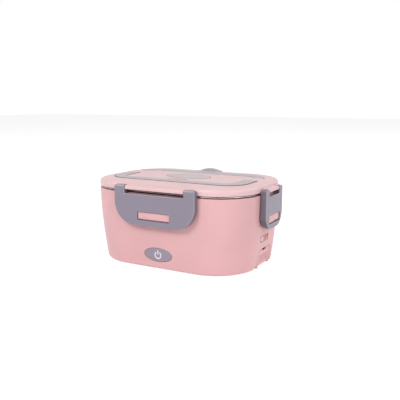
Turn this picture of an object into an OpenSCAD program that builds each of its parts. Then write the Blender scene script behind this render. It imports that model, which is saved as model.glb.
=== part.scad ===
// Electric lunch box: a heated plastic case with a steel container, a lift-off lid held by four
// folding clips, a folding carrying handle and a vent plug in the lid.
// Millimetres. +X is the length, the front faces -Y, +Z is up, and the origin is on the table
// under the middle of the box.

/* [Case] */
// Length of the case at its rim
body_l = 220; // [200:1:240]
// Width of the case at its rim
body_w = 154; // [144:1:170]
// Height of the case's rim above the table
body_top = 91.8; // [84:0.1:110]
// Corner radius of the rim, seen from above
corner_r = 53; // [44:1:56]
// How much more the corner radius is at the bottom
corner_gain = 2.5; // [0:0.1:4]
// How far each end wall leans in at the bottom
lean_l = 6.1; // [4:0.1:8]
// How far each long wall leans in at the bottom
lean_w = 3.6; // [2:0.1:5]
// Exponent of the walls' curve from rim to bottom
lean_curve = 1.72; // [1.2:0.01:2.2]
// Wall thickness of the case
case_wall = 2.5; // [2.2:0.1:3.2]
// Thickness of the deck round the container
deck_t = 3.2; // [2:0.1:5]
// Radius of the case's bottom edge
edge_r = 1.8; // [0.8:0.1:2]

/* [Container] */
// Distance from the case's rim outline to the steel tub
tub_inset = 11; // [10:0.5:16]
// Steel thickness
steel_t = 0.8; // [0.6:0.1:1.2]
// Height of the rolled rim
rim_h = 1.5; // [1.2:0.1:2.4]
// Distance from the case's rim outline to the rolled rim
rim_inset = 1.6; // [1.2:0.1:2.4]
// Height of the gap between the case's rim and the rolled rim
rim_gap = 0.8; // [0.4:0.1:1.2]
// Height of the tub's underside above the table
tub_bottom = 37; // [34:0.5:44]
// Radius between the tub's floor and wall
tub_round = 12; // [6:1:18]

/* [Lid] */
// Height of the gap between case and lid
seam_h = 3; // [2.8:0.1:4]
// Height of the lid
lid_h = 9.4; // [8.8:0.1:12]
// Height of the lid's upright side
lid_side_h = 4; // [3:0.1:4.4]
// Radius of the lid's shoulder
shoulder_r = 4.2; // [3:0.1:4.4]
// How far in from the shoulder the top still rises
crown_run = 22; // [16:1:30]
// Thickness of the lid's side wall
lid_wall = 2.4; // [2:0.1:3]
// Thickness of the lid under the handle's groove
lid_floor_t = 1.8; // [1.4:0.1:2.4]
// Width of the seal
seal_w = 6; // [4:0.5:8]
// Thickness of the inner lid's plate
inner_lid_t = 2; // [1.5:0.1:2.4]
// How far the inner lid's rib reaches into the container
rib_drop = 3; // [1:0.5:6]

/* [Clips] */
// How far the front and back clips' faces stand out from the rim outline
front_clip_out = 7.5; // [7:0.1:9]
// How far the end clips' faces stand out from the rim outline
end_clip_out = 8.5; // [7:0.1:9]
// Thickness of a clip's plate
clip_t = 2; // [1.6:0.1:2.4]
// Radius of the front and back clips' knuckles
front_knuckle_r = 3.4; // [3:0.1:3.6]
// Radius of the end clips' knuckles
end_knuckle_r = 2.8; // [2.6:0.1:3.4]
// Radius of the clip pins
clip_pin_r = 1.2; // [1:0.1:1.5]
// Height of the front and back clips' pins above the lid's lower edge
front_pin_up = 3.4; // [3:0.1:4]
// Height of the end clips' pins above the lid's lower edge
end_pin_up = 1.6; // [1.4:0.1:3.4]
// Width of the front and back clips
front_clip_w = 110.8; // [90:1:112]
// Width of the front and back clips' hinge slot
front_slot_w = 81.6; // [60:1:84]
// Height of the front and back clips' lower edge
front_clip_low = 54; // [50:1:60]
// Corner radius of the front and back clips
front_clip_r = 27; // [12:1:30]
// Width of the front and back clips' window
front_window_w = 44; // [30:1:54]
// Width of the end clips
end_clip_w = 52; // [44:1:54]
// Width of the end clips' hinge slot
end_slot_w = 33; // [24:1:34]
// Height of the end clips' lower edge
end_clip_low = 50; // [46:0.5:54]
// Corner radius of the end clips
end_clip_r = 18; // [8:1:20]
// Width of the end clips' window
end_window_w = 34; // [20:1:36]
// Height of the bar under the front and back clips' window
front_bar_h = 7; // [4:0.1:8]
// Height of the bar under the end clips' window
end_bar_h = 6.8; // [4:0.1:8]
// Height of a clip's window
window_h = 10; // [8:0.5:12]
// How far the case's catch hooks over the bar
catch_hook = 1.1; // [0.8:0.1:1.4]

/* [Handle] */
// Length of the oval that handle and back trim make
ring_l = 187; // [170:1:192]
// Width of that oval
ring_w = 101; // [94:1:106]
// Corner radius of that oval
ring_r = 28; // [24:1:40]
// Width of the handle's band
band_w = 15; // [12:0.5:17]
// Thickness of the handle
handle_t = 3.6; // [3:0.1:3.8]
// How much thicker the handle's grip is than its hinge ends
grip_rise = 0.9; // [0:0.1:1.2]
// Distance of the handle's pins behind the middle
handle_pin_y = 4; // [0:1:10]
// Radius of the handle's pins
handle_pin_r = 0.9; // [0.7:0.1:1]
// Where the back trim starts behind the middle
trim_y = 28; // [22:1:34]
// Thickness of the back trim
trim_t = 2.4; // [1.6:0.1:3]
// How far the back trim stands above the lid
trim_proud = 0.7; // [0:0.1:1]
// Width of the thumb tab
tab_w = 35; // [24:1:48]
// Height of the thumb tab above the lid
tab_h = 4.2; // [2:0.1:6]
// Thickness of the thumb tab
tab_t = 4.5; // [3:0.5:8]
// How far the thumb tab stands behind the trim
tab_reach = 14.5; // [8:0.5:16]
// Width of the finger notch beside the handle
notch_w = 28; // [20:1:40]
// Depth of the finger notch, seen from above
notch_reach = 13; // [4:0.5:16]

/* [Vent plug] */
// Length of the plug's cap
plug_l = 61; // [40:1:64]
// Width of the plug's cap
plug_w = 35; // [24:1:40]
// Thickness of the plug's cap
plug_t = 2.9; // [2:0.1:3.6]
// How far the cap stands above the lid
plug_proud = 1.2; // [0:0.1:1.6]
// Radius of the plug's stem
stem_r = 5; // [3:0.5:7]

/* [Power button] */
// Width of the button
button_w = 39; // [30:1:44]
// Height of the button
button_h = 17; // [12:1:20]
// Height of the button's middle above the table
button_z = 18.2; // [16:0.1:20]
// How far the button stands out of the wall
button_proud = 0.4; // [0.2:0.1:0.8]
// Travel of the button
button_travel = 0.8; // [0.4:0.1:1]

/* [Socket] */
// Width of the socket door
door_w = 38; // [34:1:42]
// Height of the door's top edge above the table
door_top = 22.5; // [21:0.5:26]
// Thickness of the door
door_t = 1.8; // [1.4:0.1:2.2]
// Corner radius of the door's top
door_r = 4; // [2:0.5:6]
// Radius of the door's hinge barrel
barrel_r = 1.5; // [1.3:0.1:1.7]
// Radius of the door's pin
door_pin_r = 0.7; // [0.5:0.1:0.8]
// Height of the door's pin above the table
door_pin_z = 4.6; // [4.4:0.1:5]
// Width of the step in the case's bottom edge under the socket
step_w = 54; // [48:1:60]
// Height of that step above the table
step_z = 3.8; // [3:0.1:4]
// Distance between the inlet's two contact pins
contact_pitch = 8.6; // [8:0.1:9]
// Radius of the inlet's contact pins
contact_r = 1.2; // [1:0.1:1.4]
// Depth of the inlet's recess
inlet_depth = 9.4; // [8:0.1:11]

/* [Base and heater] */
// Height of the case's bottom edge above the table
foot_h = 1; // [0.6:0.1:1.6]
// Radius of the rubber feet
foot_r = 6; // [4:0.5:8]
// Thickness of the bottom cover
cover_t = 2.5; // [2:0.1:3]
// Thickness of the heater well's wall
well_wall = 1.5; // [1.2:0.1:1.8]
// Thickness of the heating plate
plate_t = 3.5; // [2:0.1:5]
// Thickness of the heater element
heater_t = 5; // [3:0.1:7]
// Radius of the cover's screws
screw_r = 1.4; // [1.2:0.1:1.6]
// Thickness of the circuit board
board_t = 1.6; // [1:0.1:2]

/* [Hidden] */

$fn = 64;
eps = 0.01;
gap = 0.3;          // clearance between pieces that move past each other
pin_gap = 0.05;     // radial clearance of a pin in its bore
well_gap = 0.8;     // between the tub and the heater well
pink = [0.89, 0.74, 0.75];
pale_pink = [0.93, 0.82, 0.81];
grey = [0.58, 0.57, 0.62];
light_grey = [0.77, 0.75, 0.75];
steel = [0.78, 0.78, 0.79];

// levels, from the table up
cover_z = foot_h + 0.5;
cover_top = cover_z + cover_t;
deck_z = body_top - deck_t;
rim_z = body_top + rim_gap;
rim_top = rim_z + rim_h;
lid_z = body_top + seam_h;
lid_top = lid_z + lid_h;
front_pin_z = lid_z + front_pin_up;
end_pin_z = lid_z + end_pin_up;
handle_z = lid_top - 0.2 - handle_t;
groove_z = handle_z - gap;
cavity_top = groove_z - lid_floor_t;
handle_pin_z = handle_z + handle_t / 2;
plate_z = tub_bottom - plate_t;
well_floor_z = plate_z - well_wall;
heater_z = plate_z - heater_t;

// ---------- shared shapes ----------

module rounded(hl, hw, r) {
    square([2 * hl, 2 * (hw - r)], center = true);
    square([2 * (hl - r), 2 * hw], center = true);
    for (x = [-1, 1], y = [-1, 1]) translate([x * (hl - r), y * (hw - r)]) circle(r);
}

// rounded outline that runs inside the rim outline at an even distance
module rim_outline(inset) {
    rounded(body_l / 2 - inset, body_w / 2 - inset, corner_r - inset);
}

module ellipse(l, w) {
    polygon([for (a = [0:6:354]) [l / 2 * cos(a), w / 2 * sin(a)]]);
}

module slab(z0, z1) {
    translate([0, 0, z0]) linear_extrude(z1 - z0) children();
}

// extrudes an outline drawn as (x, z) along Y from y0 to y1
module along_y(y0, y1) {
    translate([0, y1, 0]) rotate([90, 0, 0]) linear_extrude(y1 - y0) children();
}

// extrudes an outline drawn as (y, z) along X from x0 to x1
module along_x(x0, x1) {
    translate([x0, 0, 0]) rotate([90, 0, 90]) linear_extrude(x1 - x0) children();
}

module rod_x(x0, x1, y, z, r) {
    translate([x0, y, z]) rotate([0, 90, 0]) cylinder(h = x1 - x0, r = r);
}

module rod_y(y0, y1, x, z, r) {
    translate([x, y0, z]) rotate([-90, 0, 0]) cylinder(h = y1 - y0, r = r);
}

// ---------- case form ----------

// 0 at the rim and 1 at the bottom
function lean(z) = pow(max(0, (body_top - z) / (body_top - foot_h)), lean_curve);
function case_x(z) = body_l / 2 - lean_l * lean(z);
function case_y(z) = body_w / 2 - lean_w * lean(z);

module case_slice(z, inset) {
    translate([0, 0, z]) linear_extrude(eps)
        rounded(case_x(z) - inset, case_y(z) - inset, corner_r + corner_gain * lean(z) - inset);
}

// the case's outer form, grown outwards by an amount
module case_outer(grow = 0) {
    steps = 6;
    straight = body_top - foot_h - edge_r;
    hull() {
        for (a = [0:30:90])
            case_slice(foot_h + edge_r * (1 - sin(a)), edge_r * (1 - cos(a)) - grow);
        for (i = [1:steps])
            case_slice(foot_h + edge_r + straight * i / steps - eps, -grow);
    }
}

// the form inside the case's wall between two heights
module case_inner(inset, z0, z1) {
    steps = 4;
    hull() for (i = [0:steps]) case_slice(z0 + (z1 - z0 - eps) * i / steps, inset);
}

// ---------- case and base ----------

// stations of the four clips: each turns its piece from the front to its own side
module front_side() children();
module back_side() rotate(180) children();
module right_side() rotate(90) children();
module left_side() rotate(-90) children();

// catch that fills a clip's window, drawn for a wall facing -Y
module catch_block(half, out, window_w, bar_top) {
    root = -(half - case_wall);
    inner = -(half + out - clip_t);
    face = inner - catch_hook;
    top = bar_top + window_h - 0.4;
    along_x(-(window_w / 2 - 0.5), window_w / 2 - 0.5)
        polygon([[root, bar_top + gap], [inner, bar_top + gap],
                 [face, bar_top + gap + catch_hook * 1.1], [face, top - 0.4],
                 [face + 0.4, top], [root, top]]);
}

module button_outline(grow = 0) {
    translate([0, button_z]) ellipse(button_w + 2 * grow, button_h + 2 * grow);
}

door_half = door_w / 2;
door_pin_x = case_x(door_pin_z) - barrel_r + 0.1;
lug_w = 2;
lug_y = door_half - lug_w - 2 * gap;

// outline (y, z) of the door's plate and, grown, of its opening
module door_outline(grow = 0) {
    translate([-door_half - grow, door_pin_z - 4 * grow])
        square([2 * (door_half + grow), door_top - door_r - door_pin_z + 4 * grow]);
    translate([0, door_top - door_r]) square([2 * (door_half - door_r), 2 * (door_r + grow)], center = true);
    for (s = [-1, 1]) translate([s * (door_half - door_r), door_top - door_r]) circle(door_r + grow);
}

inlet_face_x = case_x(door_top) - case_wall - 4.2;
inlet_z = 14.8;
inlet_block = [22, 14];
inlet_recess_r = 4.7;
frame_w = door_w + 6;
frame_top = door_top + 3.5;

boss_reach = 8.4;
board_y = -(case_y(button_z) - case_wall - boss_reach);
board_w = 60;
board_z = 6;
board_top_z = 30;
board_hole_x = 26;

module body_shell() color(pink) {
    difference() {
        union() {
            difference() {
                case_outer();
                case_inner(case_wall, foot_h - 1, deck_z);
                slab(deck_z - 1, body_top + 1) rim_outline(tub_inset - well_gap);
            }
            // seat that carries the container's rim
            slab(body_top - eps, rim_top - steel_t) difference() {
                rim_outline(rim_inset + 2.6);
                rim_outline(tub_inset - well_gap);
            }
            // ledge that the bottom cover bears on
            difference() {
                case_inner(case_wall - 0.4, cover_top, cover_top + 1.5);
                slab(cover_top - 1, cover_top + 3)
                    rounded(case_x(cover_top) - case_wall - 2, case_y(cover_top) - case_wall - 2,
                            corner_r + corner_gain - case_wall - 2);
            }
            // catches for the four clips
            for (turn = [0, 180]) rotate(turn)
                catch_block(body_w / 2, front_clip_out, front_window_w, front_clip_low + front_bar_h);
            for (turn = [90, -90]) rotate(turn)
                catch_block(body_l / 2, end_clip_out, end_window_w, end_clip_low + end_bar_h);
            // bosses for the circuit board
            for (x = [-1, 1])
                rod_y(-(case_y(board_z) - case_wall / 2), board_y, x * board_hole_x, button_z, 3.5);
            // frame behind the socket door
            along_x(inlet_face_x, case_x(door_top) - case_wall / 2) difference() {
                translate([-frame_w / 2, cover_top]) square([frame_w, frame_top - cover_top]);
                door_outline(gap);
            }
        }
        along_y(-body_w, board_y - 4) button_outline(gap);
        along_x(inlet_face_x - 1, body_l) door_outline(gap);
        // step under the socket
        translate([body_l / 2 - 30, -step_w / 2, -1]) cube([40, step_w, step_z + 1]);
        for (x = [-1, 1]) rod_y(board_y - 6, board_y + 1, x * board_hole_x, button_z, 1);
    }
}

well_in = tub_inset - well_gap;
well_out = well_in - well_wall;
post_x = 74;
post_y = 40;
post_r = 4.5;

foot_x = 70;
foot_y = 52;

module bottom_cover() color(pink) {
    difference() {
        union() {
            slab(cover_z, cover_top)
                rounded(case_x(foot_h) - case_wall - gap, case_y(foot_h) - case_wall - gap,
                        corner_r + corner_gain - case_wall - gap);
            // lugs that hold the door's pin
            for (s = [-1, 1]) {
                y0 = s > 0 ? lug_y : -lug_y - lug_w;
                rod_y(y0, y0 + lug_w, door_pin_x, door_pin_z, barrel_r);
                translate([door_pin_x - barrel_r - 6, y0, cover_z])
                    cube([6 + 2 * barrel_r, lug_w, door_pin_z - cover_z]);
            }
        }
        // room for the door's barrel between the lugs
        translate([door_pin_x - barrel_r - 2 * gap, -lug_y, -1])
            cube([20, 2 * lug_y, door_pin_z + barrel_r + 2]);
        // and for the door's corners outside them
        for (s = [-1, 1]) {
            y0 = s > 0 ? lug_y + lug_w : -lug_y - lug_w - 20;
            translate([door_pin_x - barrel_r - gap, y0, cover_z - 1]) cube([20, 20, cover_t + 2]);
        }
        rod_y(-door_w, door_w, door_pin_x, door_pin_z, door_pin_r + pin_gap);
        for (x = [-1, 1], y = [-1, 1]) {
            translate([x * foot_x, y * foot_y, 0]) cylinder(h = cover_z + 1, r = foot_r + pin_gap);
            translate([x * post_x, y * post_y, 0]) cylinder(h = cover_top + 1, r = screw_r + 0.2);
            translate([x * post_x, y * post_y, 0]) cylinder(h = cover_z + 1.2, r = 2.3 * screw_r);
        }
        // cooling slots
        for (i = [-3:3]) translate([i * 8, 0, cover_z - 1]) slab(0, cover_t + 2)
            rounded(1.3, 18, 1.25);
    }
}

module rubber_feet() color([0.25, 0.25, 0.27]) {
    for (x = [-1, 1], y = [-1, 1]) translate([x * foot_x, y * foot_y, 0]) rotate_extrude()
        polygon([[0, 0], [foot_r - 0.6, 0], [foot_r, 0.6], [foot_r, cover_z + 1], [0, cover_z + 1]]);
}

// screw with its cross-slotted head down
module screw(head_r, head_h, r, length) {
    slot_depth = 0.4;
    difference() {
        cylinder(h = head_h, r = head_r);
        for (turn = [0, 90]) rotate(turn)
            translate([0, 0, slot_depth / 2 - 0.5])
                cube([1.4 * head_r, 0.24 * head_r, slot_depth + 1], center = true);
    }
    cylinder(h = head_h + length, r = r);
}

screw_bite = 8;    // how far a cover screw reaches into its post

module cover_screws() color(steel) {
    for (x = [-1, 1], y = [-1, 1]) translate([x * post_x, y * post_y, cover_z + 0.2])
        screw(2.1 * screw_r, 1, screw_r, cover_t + screw_bite);
}

heater_l = 60;
heater_w = 24;
plate_hl = 62;
plate_hw = 40;
opening_hl = 50;
opening_hw = 28;
bracket_hole_x = heater_l / 2 + 24.5;

module heater_well() color([0.86, 0.85, 0.84]) {
    difference() {
        union() {
            slab(well_floor_z, deck_z) rim_outline(well_out);
            for (x = [-1, 1], y = [-1, 1]) translate([x * post_x, y * post_y, cover_top])
                cylinder(h = well_floor_z - cover_top + 0.5, r = post_r);
        }
        slab(plate_z, deck_z + 1) rim_outline(well_in);
        slab(well_floor_z - 1, plate_z + 1) rounded(opening_hl, opening_hw, 12);
        for (x = [-1, 1], y = [-1, 1]) translate([x * post_x, y * post_y, cover_top - 1])
            cylinder(h = 14, r = screw_r + pin_gap);
        for (x = [-1, 1]) translate([x * bracket_hole_x, 0, well_floor_z - 1])
            cylinder(h = well_wall + 0.8, r = screw_r + pin_gap);
    }
}

module heating_plate() color([0.82, 0.82, 0.83]) {
    slab(plate_z, tub_bottom) rounded(plate_hl, plate_hw, 20);
}

module ptc_heater() color([0.9, 0.88, 0.8]) {
    slab(heater_z, plate_z) square([heater_l, heater_w], center = true);
}

bracket_t = 1.2;
bracket_w = 16;
bracket_leg_x = heater_l / 2 + 4;
bracket_end_x = bracket_leg_x + 26;

module heater_bracket() color(steel) difference() {
    along_y(-bracket_w / 2, bracket_w / 2) {
        for (s = [-1, 1]) {
            translate([s > 0 ? bracket_leg_x : -bracket_leg_x - bracket_t, heater_z - bracket_t])
                square([bracket_t, well_floor_z - heater_z + bracket_t]);
            translate([s > 0 ? bracket_leg_x : -bracket_end_x, well_floor_z - bracket_t])
                square([bracket_end_x - bracket_leg_x, bracket_t]);
        }
        translate([-bracket_leg_x - eps, heater_z - bracket_t])
            square([2 * (bracket_leg_x + eps), bracket_t]);
    }
    for (x = [-1, 1]) translate([x * bracket_hole_x, 0, heater_z - 3])
        cylinder(h = 20, r = screw_r + 0.1);
}

module bracket_screws() color(steel) {
    for (x = [-1, 1]) translate([x * bracket_hole_x, 0, well_floor_z - bracket_t - 1])
        screw(2.1 * screw_r, 1, screw_r, bracket_t + well_wall - 0.3);
}

sensor_y = 20;
thermostat_h = 6;

module thermostat() color([0.3, 0.3, 0.32]) translate([0, sensor_y, plate_z - thermostat_h]) {
    cylinder(h = thermostat_h, r = 6.5);
    // its two tabs
    for (x = [-4, 4]) translate([x, 0, -2.5]) cube([3, 0.8, 7], center = true);
}

fuse_l = 14;
fuse_r = 2;
fuse_lead_x = 16;

module thermal_fuse() color([0.85, 0.8, 0.7]) {
    rod_x(-fuse_l / 2, fuse_l / 2, -sensor_y, plate_z - fuse_r, fuse_r);
    rod_x(-fuse_lead_x, fuse_lead_x, -sensor_y, plate_z - fuse_r, 0.5);
}

module control_board() color([0.2, 0.45, 0.3]) difference() {
    along_y(board_y, board_y + board_t)
        translate([-board_w / 2, board_z]) square([board_w, board_top_z - board_z]);
    for (x = [-1, 1]) rod_y(board_y - 1, board_y + 3, x * board_hole_x, button_z, 1.2);
}

module board_screws() color(steel) {
    for (x = [-1, 1]) translate([x * board_hole_x, board_y + board_t + 1, button_z]) rotate([90, 0, 0])
        screw(2, 1, 0.95, board_t + 4);
}

switch_t = 3.5;
switch_y = board_y - switch_t;
plunger_y = switch_y - 1;

module tact_switch() color([0.2, 0.2, 0.22]) {
    translate([-3, switch_y, button_z - 3]) cube([6, switch_t, 6]);
    rod_y(plunger_y, switch_y + 0.5, 0, button_z, 1.7);
}

led_x = 10;
led_r = 1.5;
led_t = 2.2;

module indicator_led() color([0.95, 0.95, 0.9]) {
    for (x = [-1, 1]) {
        rod_y(board_y - led_t, board_y, x * led_x, button_z, led_r);
        translate([x * led_x, board_y - led_t, button_z]) sphere(r = led_r);
    }
}

module power_button() color(grey) {
    flange_y = -(case_y(button_z - button_h / 2 - 2) - case_wall - gap);
    intersection() {
        along_y(-body_w, flange_y + eps) button_outline();
        case_outer(button_proud);
    }
    along_y(flange_y, flange_y + 1) button_outline(1.2);
    rod_y(flange_y + 1 - eps, plunger_y - button_travel - gap, 0, button_z, 3);
}

// ---------- socket ----------

module inlet_recess(r) {
    for (s = [-1, 1]) translate([s * contact_pitch / 2, inlet_z]) circle(r);
    translate([0, inlet_z]) square([contact_pitch, 2 * r - 1.2], center = true);
}

module power_inlet() color([0.15, 0.15, 0.16]) difference() {
    union() {
        along_x(inlet_face_x - 2, inlet_face_x)
            translate([-(frame_w / 2 - 1), door_pin_z + gap])
                square([frame_w - 2, frame_top - door_pin_z - gap - 0.5]);
        along_x(inlet_face_x - inlet_depth - 2, inlet_face_x)
            translate([0, inlet_z]) square(inlet_block, center = true);
    }
    along_x(inlet_face_x - inlet_depth, inlet_face_x + 1) inlet_recess(inlet_recess_r);
    for (s = [-1, 1])
        rod_x(inlet_face_x - inlet_depth - 3, inlet_face_x, s * contact_pitch / 2, inlet_z, contact_r);
}

module inlet_pins() color(steel) {
    for (s = [-1, 1])
        rod_x(inlet_face_x - inlet_depth - 6, inlet_face_x - 1.2, s * contact_pitch / 2, inlet_z, contact_r);
}

module socket_door() color(pink) {
    difference() {
        union() {
            intersection() {
                difference() {
                    case_outer();
                    case_inner(door_t, foot_h - 1, door_top + 8);
                }
                along_x(body_l / 4, body_l) door_outline();
            }
            rod_y(-lug_y + gap, lug_y - gap, door_pin_x, door_pin_z, barrel_r);
        }
        rod_y(-door_w, door_w, door_pin_x, door_pin_z, door_pin_r + pin_gap);
        // corners cut back for the lugs
        for (s = [-1, 1]) {
            y0 = s > 0 ? lug_y - gap : -lug_y - 20 + gap;
            translate([door_pin_x - 6, y0, 0]) cube([12, 20, door_pin_z + barrel_r + 1.2 * gap]);
        }
        // finger notch
        along_x(body_l / 4, body_l) translate([0, door_top]) rounded(6, 1.6, 1.5);
    }
}

module door_pin() color(steel) {
    rod_y(-lug_y - lug_w, lug_y + lug_w, door_pin_x, door_pin_z, door_pin_r);
}

label_t = 0.3;
label_w = 27;
label_h = 9;
label_y = -3.5;
label_z = 36.5;

module side_label() color([0.93, 0.84, 0.83]) intersection() {
    difference() {
        case_outer(label_t);
        case_outer();
    }
    along_x(body_l / 4, body_l) translate([label_y, label_z]) rounded(label_w / 2, label_h / 2, 1);
}

// ---------- container ----------

// tub form: a rounded box whose floor meets the wall in a radius
module tub_form(inset, floor_z, top_z, r) {
    corner = corner_r - inset;
    mid_x = body_l / 2 - corner_r;
    mid_y = body_w / 2 - corner_r;
    for (x = [-1, 1], y = [-1, 1]) translate([x * mid_x, y * mid_y, 0]) rotate_extrude() intersection() {
        tub_section(corner, floor_z, top_z, r);
        translate([0, floor_z - 1]) square([corner + 1, top_z - floor_z + 2]);
    }
    along_x(-mid_x, mid_x) tub_section(mid_y + corner, floor_z, top_z, r);
    along_y(-mid_y, mid_y) tub_section(mid_x + corner, floor_z, top_z, r);
}

module tub_section(half, floor_z, top_z, r) {
    translate([-half, floor_z + r]) square([2 * half, top_z - floor_z - r]);
    translate([-(half - r), floor_z]) square([2 * (half - r), r + eps]);
    for (s = [-1, 1]) translate([s * (half - r), floor_z + r]) circle(r);
}

module steel_container() color(steel) {
    difference() {
        union() {
            tub_form(tub_inset, tub_bottom, rim_top - steel_t / 2, tub_round);
            slab(rim_top - steel_t, rim_top) rim_outline(rim_inset);
            slab(rim_z, rim_top) difference() {
                rim_outline(rim_inset);
                rim_outline(rim_inset + 1.6);
            }
        }
        tub_form(tub_inset + steel_t, tub_bottom + steel_t, rim_top + 1, tub_round - steel_t);
    }
}

// ---------- lid ----------

module lid_slice(h, inset) {
    translate([0, 0, lid_z + h]) linear_extrude(eps) rim_outline(inset);
}

module lid_form() {
    crown_h = lid_h - lid_side_h - shoulder_r;
    hull() {
        lid_slice(0, 0.4);
        lid_slice(0.6, 0);
        for (a = [0:18:90]) lid_slice(lid_side_h + shoulder_r * sin(a) - eps, shoulder_r * (1 - cos(a)));
        for (t = [1 / 3, 2 / 3, 1])
            lid_slice(lid_side_h + shoulder_r + crown_h * (1 - pow(1 - t, 2)) - eps, shoulder_r + crown_run * t);
    }
}

function clip_pin_y(half, out, knuckle_r) = -(half + out - knuckle_r - 0.1);

// boss that a clip's pin turns in, drawn for a wall facing -Y
module hinge_boss(half, out, knuckle_r, pin_z, slot_w) {
    boss_r = knuckle_r - 0.6;
    face = -(half + out - 0.8);
    low = pin_z - 2;
    difference() {
        along_x(-slot_w / 2 + 0.5, slot_w / 2 - 0.5) {
            polygon([[-(half - lid_wall), low], [face + 0.6, low], [face, low + 0.6], [face, pin_z],
                     for (a = [180:-15:90]) [face + boss_r * (1 + cos(a)), pin_z + boss_r * sin(a)],
                     [-(half - 1), pin_z + boss_r]]);
        }
        rod_x(-slot_w, slot_w, clip_pin_y(half, out, knuckle_r), pin_z, clip_pin_r + pin_gap);
    }
}

module ring_outline(inset) {
    rounded(ring_l / 2 - inset, ring_w / 2 - inset, ring_r - inset);
}

module band_outline(grow) difference() {
    ring_outline(-grow);
    ring_outline(band_w + grow);
}

band_mid = (ring_l - band_w) / 2;
handle_end = handle_pin_y + handle_t / 2;
handle_pin_in = 3.9;    // how far a handle pin reaches into the lid on each side of the band

// rods along the handle's pin line, across each end of the band
module handle_rods(reach, r) {
    for (s = [-1, 1])
        rod_x(s * band_mid - band_w / 2 - reach, s * band_mid + band_w / 2 + reach,
              handle_pin_y, handle_pin_z, r);
}

module lid_shell() color(pale_pink) {
    difference() {
        union() {
            lid_form();
            for (turn = [0, 180]) rotate(turn)
                hinge_boss(body_w / 2, front_clip_out, front_knuckle_r, front_pin_z, front_slot_w);
            for (turn = [90, -90]) rotate(turn)
                hinge_boss(body_l / 2, end_clip_out, end_knuckle_r, end_pin_z, end_slot_w);
        }
        // channel for the seal and the inner lid
        slab(lid_z - 1, cavity_top) rim_outline(lid_wall);
        // hollow over the inner lid
        slab(cavity_top - 1, lid_top - lid_floor_t - plug_t)
            rounded(ring_l / 2 - band_w - 4, ring_w / 2 - band_w - 4, ring_r - band_w - 4);
        // groove of the handle
        slab(groove_z, lid_top + 1) intersection() {
            band_outline(gap);
            translate([-ring_l, handle_end + gap - 2 * ring_w]) square([2 * ring_l, 2 * ring_w]);
        }
        // bores of the handle's pins
        handle_rods(handle_pin_in + 0.1, handle_pin_r + pin_gap);
        // seat of the back trim
        slab(lid_top - trim_t, lid_top + 1) trim_outline(pin_gap);
        // finger notch beside the handle
        slab(groove_z + 1, lid_top + 1)
            translate([0, -(ring_w / 2 - band_w) + notch_reach / 2 - 1])
                rounded(notch_w / 2, notch_reach / 2 + 1, notch_reach / 2);
        // seat and hole of the vent plug
        slab(lid_top + plug_proud - plug_t - gap, lid_top + 1) ellipse(plug_l + 2 * gap, plug_w + 2 * gap);
        translate([0, 0, lid_z - 1]) cylinder(h = lid_h + 2, r = stem_r + gap);
    }
}

tab_y = ring_w / 2 + tab_reach;    // back face of the thumb tab

module trim_outline(grow = 0) {
    intersection() {
        band_outline(grow);
        translate([-ring_l, trim_y - grow]) square([2 * ring_l, ring_w]);
    }
    // tongue that carries the thumb tab
    translate([0, (tab_y + ring_w / 2 - band_w / 2) / 2])
        rounded(tab_w / 2 + grow, (tab_y - ring_w / 2 + band_w / 2) / 2 + grow, 2 + grow);
}

module back_trim() color(light_grey) {
    slab(lid_top - trim_t, lid_top + trim_proud) trim_outline();
    // thumb tab
    radius = (pow(tab_w / 2, 2) + pow(tab_h, 2)) / (2 * tab_h);
    intersection() {
        rod_y(tab_y - tab_t, tab_y, 0, lid_top + tab_h - radius, radius);
        slab(lid_top - trim_t / 2, lid_top + tab_h + 1) trim_outline();
    }
}

module lid_seal() color([0.9, 0.89, 0.87]) {
    slab(rim_top + gap, cavity_top) difference() {
        rim_outline(lid_wall + 0.1);
        rim_outline(lid_wall + 0.1 + seal_w);
    }
}

module inner_lid() color([0.9, 0.89, 0.87]) {
    edge = lid_wall + 0.1 + seal_w + pin_gap;
    difference() {
        union() {
            slab(cavity_top - inner_lid_t, cavity_top) rim_outline(edge);
            slab(rim_top - rib_drop, cavity_top) difference() {
                rim_outline(tub_inset + steel_t + 1);
                rim_outline(tub_inset + steel_t + 2.5);
            }
        }
        translate([0, 0, lid_z - 5]) cylinder(h = 10, r = stem_r + gap);
    }
}

module handle_pins() color(steel) handle_rods(handle_pin_in, handle_pin_r);

module lid_handle() color(light_grey) difference() {
    union() {
        slab(handle_z, handle_z + handle_t) intersection() {
            band_outline(0);
            translate([-ring_l, handle_pin_y - 2 * ring_w]) square([2 * ring_l, 2 * ring_w]);
        }
        // the grip ends before the hinge, so that it clears the groove's end when folded up
        slab(handle_z + handle_t / 2, handle_z + handle_t + grip_rise) intersection() {
            band_outline(0);
            translate([-ring_l, handle_pin_y - 3 - 2 * ring_w]) square([2 * ring_l, 2 * ring_w]);
        }
        intersection() {
            handle_rods(0, handle_t / 2);
            slab(handle_z - 1, handle_z + handle_t + 1) band_outline(0);
        }
    }
    rod_x(-ring_l, ring_l, handle_pin_y, handle_pin_z, handle_pin_r + pin_gap);
}

module vent_plug() color(light_grey) {
    top = lid_top + plug_proud;
    slab(top - plug_t, top) ellipse(plug_l, plug_w);
    translate([0, 0, rim_top]) cylinder(h = top - rim_top - plug_t / 2, r = stem_r);
}

// ---------- clips ----------

module clip_pin(half, out, knuckle_r, pin_z, w) color(steel)
    rod_x(-w / 2 + 1, w / 2 - 1, clip_pin_y(half, out, knuckle_r), pin_z, clip_pin_r);

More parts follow.
